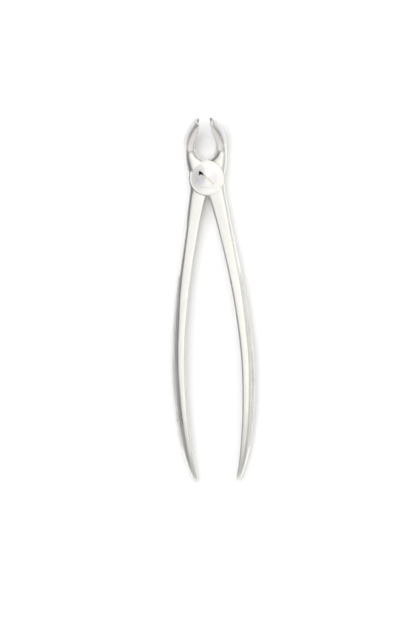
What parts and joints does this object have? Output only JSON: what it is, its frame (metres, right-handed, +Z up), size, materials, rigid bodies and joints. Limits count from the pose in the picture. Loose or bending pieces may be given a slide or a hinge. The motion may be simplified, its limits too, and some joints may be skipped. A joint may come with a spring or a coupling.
{
  "type": "dental extraction forceps",
  "caption": "Hand-held extraction forceps: two crossed steel levers on a slotted joint screw, with hollowed beaks and bowed handles.",
  "frame": {"origin": "on the joint axis, in the plane of the joint's turned underside, which lies on the table", "axes": "+Z up along the joint axis towards the screw's head, +Y towards the beaks, +X towards the upper lever's handle"},
  "size_m": [0.04, 0.1737, 0.018],
  "materials": {
    "satin_steel": "satin, blasted stainless steel with a turned joint face",
    "screw_steel": "turned stainless steel"
  },
  "bodies": {
    "lower": {"lower_lever": "satin_steel", "joint_screw": "screw_steel"},
    "upper": {"upper_lever": "satin_steel"}
  },
  "joints": [
    {"name": "lever_pivot", "type": "hinge", "parent": "lower", "child": "upper", "pos_m": [0, 0, 0.00505], "axis": [0, 0, 1], "range_deg": [-5, 20]}
  ]
}
